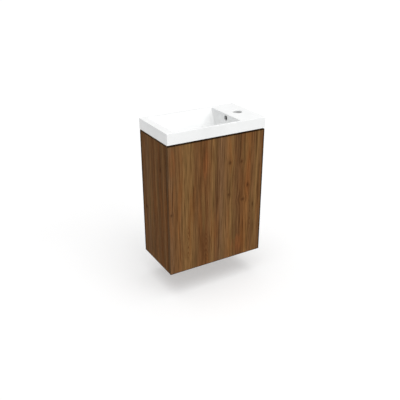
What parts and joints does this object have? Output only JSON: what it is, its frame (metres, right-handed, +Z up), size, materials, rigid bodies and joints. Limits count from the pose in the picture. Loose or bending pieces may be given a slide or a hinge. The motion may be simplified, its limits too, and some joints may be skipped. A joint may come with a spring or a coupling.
{
  "type": "wall-hung cloakroom vanity unit",
  "caption": "Narrow wall-hung washbasin cabinet: white cast basin with a tap ledge on the right, over a wood-laminate cupboard with a handleless side-hinged door.",
  "frame": {"origin": "middle of the four wall-fixing holes, on the wall plane", "axes": "+X to the right seen from the front, +Y into the wall, +Z up"},
  "size_m": [0.4, 0.22, 0.544],
  "materials": {
    "basin_white": "glossy white cast basin",
    "joint_black": "matt black seal bead",
    "cabinet_wood": "brown vertical-grained wood laminate on board, satin",
    "door_wood": "brown vertical-grained wood laminate on board, satin",
    "beech": "plain beech",
    "bright_steel": "bright plated steel",
    "zinc_steel": "zinc-plated steel",
    "nickel_steel": "nickel-plated pressed steel",
    "cast_zinc": "dull cast zinc",
    "hanger_plastic": "off-white moulded plastic",
    "latch_plastic": "grey moulded plastic"
  },
  "bodies": {
    "carcass": {"basin": "basin_white", "basin_seal": "joint_black", "left_side_panel": "cabinet_wood", "right_side_panel": "cabinet_wood", "base_panel": "cabinet_wood", "upper_back_rail": "cabinet_wood", "lower_back_rail": "cabinet_wood", "shelf": "cabinet_wood", "shelf_pins": "bright_steel", "cam_locks": "cast_zinc", "cam_bolts": "bright_steel", "dowels": "beech", "left_hanger_housing": "hanger_plastic", "right_hanger_housing": "hanger_plastic", "left_hanger_hook": "zinc_steel", "right_hanger_hook": "zinc_steel", "left_wall_plate": "zinc_steel", "right_wall_plate": "zinc_steel", "hanger_screws": "zinc_steel", "hanger_adjusters": "zinc_steel", "upper_hinge_plate": "cast_zinc", "lower_hinge_plate": "cast_zinc", "upper_hinge_arm": "nickel_steel", "lower_hinge_arm": "nickel_steel", "hinge_plate_screws": "zinc_steel", "hinge_arm_screws": "zinc_steel", "hinge_arm_pins": "bright_steel", "latch_housing": "latch_plastic", "latch_screws": "zinc_steel", "latch_spring": "bright_steel"},
    "outer_links": {"upper_outer_link": "nickel_steel", "lower_outer_link": "nickel_steel"},
    "door": {"door_panel": "door_wood", "upper_hinge_cup": "nickel_steel", "lower_hinge_cup": "nickel_steel", "hinge_cup_pins": "bright_steel", "hinge_cup_screws": "zinc_steel", "strike_plate": "zinc_steel", "strike_screw": "zinc_steel"},
    "inner_links": {"upper_inner_link": "nickel_steel", "lower_inner_link": "nickel_steel"},
    "latch_plunger": {"latch_plunger": "latch_plastic", "latch_magnet": "bright_steel"}
  },
  "joints": [
    {"name": "outer_link_swing", "type": "hinge", "parent": "carcass", "child": "outer_links", "pos_m": [0.16816, -0.18783, 0.05], "axis": [0, 0, -1], "range_deg": [0, 25.39]},
    {"name": "door_swing", "type": "hinge", "parent": "outer_links", "child": "door", "pos_m": [0.1893, -0.20693, 0.05], "axis": [0, 0, 1], "range_deg": [0, 120.38]},
    {"name": "inner_link_swing", "type": "hinge", "parent": "door", "child": "inner_links", "pos_m": [0.18776, -0.2119, 0.05], "axis": [0, 0, -1], "range_deg": [0, 107.03]},
    {"name": "plunger_slide", "type": "slide", "parent": "carcass", "child": "latch_plunger", "axis": [0, -1, 0], "range_m": [0, 0.014], "deforming": ["latch_spring"]}
  ],
  "couplings": [
    {"joint": "outer_link_swing", "follows": "door_swing", "ratio": 0.21086},
    {"joint": "inner_link_swing", "follows": "door_swing", "ratio": 0.88897},
    {"joint": "plunger_slide", "follows": "door_swing", "m_per_rad": 0.006663}
  ]
}
